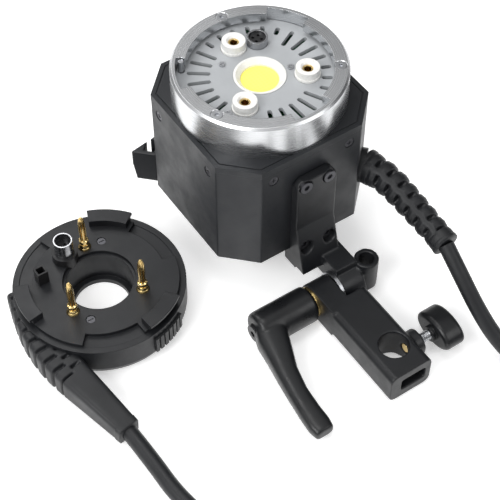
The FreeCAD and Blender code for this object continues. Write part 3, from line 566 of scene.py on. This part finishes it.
def camera():
    bpy.context.scene.view_settings.view_transform = "Standard"
    data = bpy.data.cameras.new("camera")
    data.sensor_width = SENSOR_MM
    data.lens = LENS_MM
    obj = add_object("camera", data)
    aim(obj, CAMERA_PLACE, CAMERA_TARGET)
    bpy.context.scene.camera = obj


# --- Bend protectors ------------------------------------------------------------------------------
# Both are cut by slots. Positions along them are shares of their length, and slots are counted in
# beats: one beat is one slot and the rib behind it, and widths of slots are shares of a beat.
RELIEF_ROWS = 300

HEAD_RELIEF_ROUTE = (
    (0.0423, -0.0423, 0.058), (0.0462, -0.0540, 0.0582), (0.0475, -0.076, 0.0545),
    (0.0478, -0.092, 0.0525), (0.0478, -0.106, 0.0505),
)
HEAD_RELIEF_RADII = (0.0094, 0.0074)
HEAD_RELIEF_SIDES = 96
HEAD_BEATS = 7
HEAD_SLOTTED = 0.9
LIP_FROM, LIP_REACH = 0.975, 1.04
NECK_DEPTH, NECK_LENGTH = 0.05, 0.02
COLLAR_BEATS, COLLAR_REACH = 0.75, 1.03
HEAD_SLOT_HALF, HEAD_SLOT_EDGE = 0.125, 56
HEAD_SLOT_DEPTH, HEAD_SLOT_FLOOR, HEAD_SLOT_WALL = 0.0034, 0.25, 0.0008
SCALLOP_DEPTH, SCALLOP_POWER = 0.0006, 1.5
WEB_TURN = 0.6
WEB_HALF, BRIDGE_FROM, WEB_EDGE = 0.26, 0.82, 34

ADAPTER_RELIEF_ROUTE = (
    (-0.1445, 0.016, 0.0096), (-0.1490, 0.000, 0.0096), (-0.1508, -0.017, 0.0095),
    (-0.1492, -0.037, 0.0092), (-0.1448, -0.059, 0.0082), (-0.1395, -0.0865, 0.0063),
)
ADAPTER_RELIEF_HALF = 0.0098
ADAPTER_RELIEF_SIDES = 112
ADAPTER_RELIEF_POWER = 6
TAPER, TAPER_FROM, TAPER_SHARE = 0.0036, 0.45, 0.55
END_LIP_FROM, END_LIP_REACH = 0.965, 1.05
FLOOR_GAP = 0.0002
ADAPTER_BEATS = 8.5
ADAPTER_SLOTTED = 0.6
ADAPTER_SLOT_DEPTH, ADAPTER_SLOT_EDGE = 0.0026, 60
LONG_SLOT_HALF, LONG_SLOT_FROM, LONG_SLOT_END = 0.14, 0.15, 26
SHORT_SLOT_HALF, SHORT_SLOT_MIDDLE, SHORT_SLOT_REACH, SHORT_SLOT_END = 0.12, -0.33, 0.22, 30


def relief_frames(route):
    return frames_along(resample(smooth_route(route), RELIEF_ROWS))


def head_reach(angle, share, outer):
    """Two half rounds of slots, half a beat out of step, with two webs between them."""
    if share > HEAD_SLOTTED:
        neck = 1 - NECK_DEPTH * math.exp(-((share - HEAD_SLOTTED) / NECK_LENGTH) ** 2)
        return outer * (LIP_REACH if share > LIP_FROM else neck)
    web = math.cos(angle - WEB_TURN)
    beat = share / HEAD_SLOTTED * HEAD_BEATS + (0.5 if web < 0 else 0)
    middle = abs(beat - math.floor(beat) - 0.5)
    if beat < COLLAR_BEATS:
        return outer * COLLAR_REACH
    slot = below(middle, HEAD_SLOT_HALF, HEAD_SLOT_EDGE)
    scallop = SCALLOP_DEPTH * (1 - min(1, middle / 0.5) ** SCALLOP_POWER)
    apart = above(abs(web), WEB_HALF, WEB_EDGE)
    bridge = below(abs(web), BRIDGE_FROM, WEB_EDGE)
    depth = min(HEAD_SLOT_DEPTH, outer - CABLE / 2 - HEAD_SLOT_WALL)
    cut = slot * depth * (HEAD_SLOT_FLOOR + (1 - HEAD_SLOT_FLOOR) * bridge)
    return outer - apart * (scallop + cut)


def head_relief():
    start, end = HEAD_RELIEF_RADII
    reaches = []
    for k in range(RELIEF_ROWS):
        share = k / (RELIEF_ROWS - 1)
        reaches.append(partial(head_reach, share=share, outer=start + (end - start) * share))
    data = skin("head_relief", relief_frames(HEAD_RELIEF_ROUTE), reaches, HEAD_RELIEF_SIDES)
    piece = new_piece("head_relief", data, "root", "rubber_black")
    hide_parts("strain_relief")
    return piece


def adapter_reach(angle, share, half, tall):
    """Long slots over the outer side, and short ones between them on top."""
    outer = oval_reach(angle, half, tall, ADAPTER_RELIEF_POWER)
    if share > ADAPTER_SLOTTED:
        return outer
    beat = share / ADAPTER_SLOTTED * ADAPTER_BEATS
    middle = abs(beat - math.floor(beat) - 0.5)
    long_slot = below(middle, LONG_SLOT_HALF, ADAPTER_SLOT_EDGE)
    between = abs((beat + 0.5) % 1 - 0.5)
    short_slot = below(between, SHORT_SLOT_HALF, ADAPTER_SLOT_EDGE)
    side = math.cos(angle)
    outside = above(side, LONG_SLOT_FROM, LONG_SLOT_END)
    inside = below(abs(side - SHORT_SLOT_MIDDLE), SHORT_SLOT_REACH, SHORT_SLOT_END)
    on_top = 1 if math.sin(angle) < 0 else 0  # The frames' second normal points down.
    cut = max(long_slot * outside, short_slot * (inside * on_top))
    return outer - ADAPTER_SLOT_DEPTH * cut


def adapter_relief():
    """Flat-sided bend protector that leaves the adapter's wall at a tangent."""
    rows = relief_frames(ADAPTER_RELIEF_ROUTE)
    reaches = []
    for k, (place, _, _) in enumerate(rows):
        share = k / (RELIEF_ROWS - 1)
        half = ADAPTER_RELIEF_HALF - TAPER * max(0, share - TAPER_FROM) / TAPER_SHARE
        half *= END_LIP_REACH if share > END_LIP_FROM else 1
        tall = min(half, place.z - FLOOR_GAP)
        reaches.append(partial(adapter_reach, share=share, half=half, tall=tall))
    data = skin("adapter_bend_relief", rows, reaches, ADAPTER_RELIEF_SIDES)
    piece = new_piece("adapter_bend_relief", data, "root", "rubber_black")
    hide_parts("adapter_relief")
    return piece


# --- Turned pieces --------------------------------------------------------------------------------
SLIT_EDGE = 0.42
SLIT_REACH = 0.62
ADAPTER_MIDDLE = Vector((-0.108, -0.004, 0))
PIN_ANGLES = (79.1, 206.2, 311.5)
PIN_CIRCLE = 0.025
PIN_BASE = 0.023
PIN_PROFILE = (
    (-0.004, 0.0019), (0.0, 0.0019), (0.0035, 0.0020), (0.0042, 0.0027), (0.0062, 0.0027),
    (0.0068, 0.0020), (0.0095, 0.0018), (0.0125, 0.00195), (0.0155, 0.00205), (0.0195, 0.0019),
    (0.0222, 0.0016), (0.0241, 0.0011), (0.0249, 0.0005),
)
FOOT_BASE = 0.021
FOOT_PROFILE = (
    (-0.0015, 0.0036), (0.0024, 0.0036), (0.0030, 0.0033), (0.0034, 0.0029), (0.0044, 0.0027),
    (0.0050, 0.0023), (0.0050, 0.0021),
)


def slit_reach(angle, radius, slits):
    """A turned piece's radius, less where a slit is."""
    if slits and abs((angle * slits / math.pi) % 1 - 0.5) > SLIT_EDGE:
        return radius * SLIT_REACH
    return radius


def lathe(mesh, profile, base, axis, sides=48, slits=0, slit_from=0.0):
    """Turns a profile of (distance along the axis, radius), with slits in its far part."""
    axis = Vector(axis).normalized()
    side = axis.orthogonal().normalized()
    up = axis.cross(side)
    rings = []
    for along, radius in profile:
        reach = partial(slit_reach, radius=radius, slits=slits if along > slit_from else 0)
        rings.append(round_ring(mesh, Vector(base) + axis * along, side, up, sides, reach))
    join_rings(mesh, rings)


def turned_at_pins(name, profile, height, **turning):
    """The same turned shape at each of the ring adapter's pins."""
    mesh = bmesh.new()
    for degrees in PIN_ANGLES:
        turn = math.radians(degrees)
        across = Vector((PIN_CIRCLE * math.cos(turn), PIN_CIRCLE * math.sin(turn), height))
        lathe(mesh, profile, ADAPTER_MIDDLE + across, (0, 0, 1), **turning)
    bmesh.ops.recalc_face_normals(mesh, faces=mesh.faces)
    data = to_data(name, mesh)
    shade_smooth(data, sharp_degrees=32)
    return new_piece(name, data, "root", "contact_brass")


def pins():
    """Split spring pins."""
    piece = turned_at_pins("split_pins", PIN_PROFILE, PIN_BASE, slits=4, slit_from=0.0065)
    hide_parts("adapter_pins")
    return piece


def pin_feet():
    piece = turned_at_pins("pin_feet", FOOT_PROFILE, FOOT_BASE)
    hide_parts("pin_collars")
    return piece


# --- Castings and the lever -----------------------------------------------------------------------
LEVER_HUB_BASE = (-0.0170, -0.074, 0.011)
LEVER_HUB_AXIS = (-1, 0, 0)
LEVER_HUB_SIDES = 96
LEVER_HUB = ((0.0, 0.0099), (0.0008, 0.0106), (0.0318, 0.0106), (0.0338, 0.0101), (0.0348, 0.0086))
LEVER_BORES = (
    ((-0.004, 0.0065), (0.0268, 0.0065)),
    ((0.02, 0.0028), (0.040, 0.0028)),
    ((0.029, 0.0054), (0.045, 0.0054)),
)
BORE_SIDES = 64
LEVER_ARM_SIDES = 40
LEVER_ARM_POWER = 3.2
LEVER_SECTIONS = (  # x, y, z, half width, half height
    (-0.0450, -0.070, 0.0110, 0.0070, 0.0086), (-0.0468, -0.082, 0.0110, 0.0096, 0.0080),
    (-0.0500, -0.094, 0.0108, 0.0080, 0.0066), (-0.0534, -0.106, 0.0102, 0.0064, 0.0057),
    (-0.0556, -0.119, 0.0094, 0.0058, 0.0051), (-0.0565, -0.131, 0.0087, 0.0061, 0.0047),
    (-0.0567, -0.139, 0.0083, 0.0064, 0.0044), (-0.0567, -0.1448, 0.0081, 0.0054, 0.0037),
)


def shaped(name, mesh, modifiers):
    """The mesh after a list of (kind, settings) modifiers."""
    obj = add_object(name, to_data(name, mesh))
    for kind, settings in modifiers:
        made = obj.modifiers.new(kind, kind)
        for key, value in settings.items():
            setattr(made, key, value)
    found = evaluated_mesh(obj)
    found.name = name
    return found


def rounded(name, mesh, voxel, passes):
    """The mesh with every edge broken: rebuilt from small cubes and smoothed."""
    return shaped(name, mesh, (("REMESH", {"mode": "VOXEL", "voxel_size": voxel}),
                               ("SMOOTH", {"factor": 0.5, "iterations": passes})))


def cutter(profile):
    """A bore of the lever, which takes material away and is removed again afterwards."""
    mesh = bmesh.new()
    lathe(mesh, profile, LEVER_HUB_BASE, LEVER_HUB_AXIS, BORE_SIDES)
    bmesh.ops.recalc_face_normals(mesh, faces=mesh.faces)
    return add_object("cutter", to_data("cutter", mesh))


def soften(name, body, voxel, passes):
    """A casting's rounded twin of a CAD node."""
    mesh = bmesh.new()
    mesh.from_mesh(NODES[name].data)
    data = rounded(name + "_cast", mesh, voxel, passes)
    shade_smooth(data)
    piece = new_piece(name + "_cast", data, body, SLOTS[name])
    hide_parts(name)


def lever():
    """One moulded piece: the hub runs into the curved arm, with a fillet between them."""
    mesh = bmesh.new()
    lathe(mesh, LEVER_HUB, LEVER_HUB_BASE, LEVER_HUB_AXIS, LEVER_HUB_SIDES)
    rings = []
    for x, y, z, wide, tall in LEVER_SECTIONS:
        ring = []
        for k in range(LEVER_ARM_SIDES):
            angle = 2 * math.pi * k / LEVER_ARM_SIDES
            reach = oval_reach(angle, 1, 1, LEVER_ARM_POWER)
            ring.append(mesh.verts.new((x + wide * reach * math.cos(angle), y,
                                        z + tall * reach * math.sin(angle))))
        rings.append(ring)
    join_rings(mesh, rings)
    bmesh.ops.recalc_face_normals(mesh, faces=mesh.faces)
    solid = bmesh.new()
    solid.from_mesh(rounded("lever_body", mesh, voxel=0.0007, passes=9))
    bores = [cutter(profile) for profile in LEVER_BORES]
    cut = {"operation": "DIFFERENCE", "solver": "EXACT"}
    data = shaped("lever_body", solid, [("BOOLEAN", {**cut, "object": bore}) for bore in bores])
    for bore in bores:
        bpy.data.objects.remove(bore)
    shade_smooth(data, sharp_degrees=40)
    piece = new_piece("lever_body", data, "lever", "lever_black")
    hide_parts("clamp_lever")


# --- Stand screw ----------------------------------------------------------------------------------
THREAD_PITCH = 0.0012
THREAD_DEPTH = 0.00062
THREAD_POWER = 0.8
THREAD_STEP = 0.00012
THREAD_SIDES = 40


def thread_reach(angle, along, radius):
    phase = (along / THREAD_PITCH + angle / (2 * math.pi)) % 1
    return radius - THREAD_DEPTH * abs(2 * phase - 1) ** THREAD_POWER


def threaded_shank():
    """The stand screw's shank with its helical thread."""
    low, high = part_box("screw_shank")
    middle = (low + high) / 2
    radius = (high.z - low.z) / 2
    steps = round((high.x - low.x) / THREAD_STEP)
    places = [Vector((low.x + (high.x - low.x) * k / steps, middle.y, middle.z))
              for k in range(steps + 1)]
    rows = [(place, Vector((0, 1, 0)), Vector((0, 0, 1))) for place in places]
    reaches = [partial(thread_reach, along=place.x, radius=radius) for place in places]
    data = skin("threaded_shank", rows, reaches, THREAD_SIDES)
    piece = new_piece("threaded_shank", data, "stand_screw", "screw_steel")
    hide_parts("screw_shank")


def main():
    paint_nodes()
    stage_and_light()
    camera()
    own_pieces = [head_relief(), adapter_relief(), pins(), pin_feet()]
    lever()
    soften("bracket_arm", "root", voxel=0.0005, passes=9)
    soften("clamp_block", "clamp", voxel=0.0005, passes=7)
    soften("release_lever", "release", voxel=0.0004, passes=6)
    threaded_shank()
    cord = cable()


main()
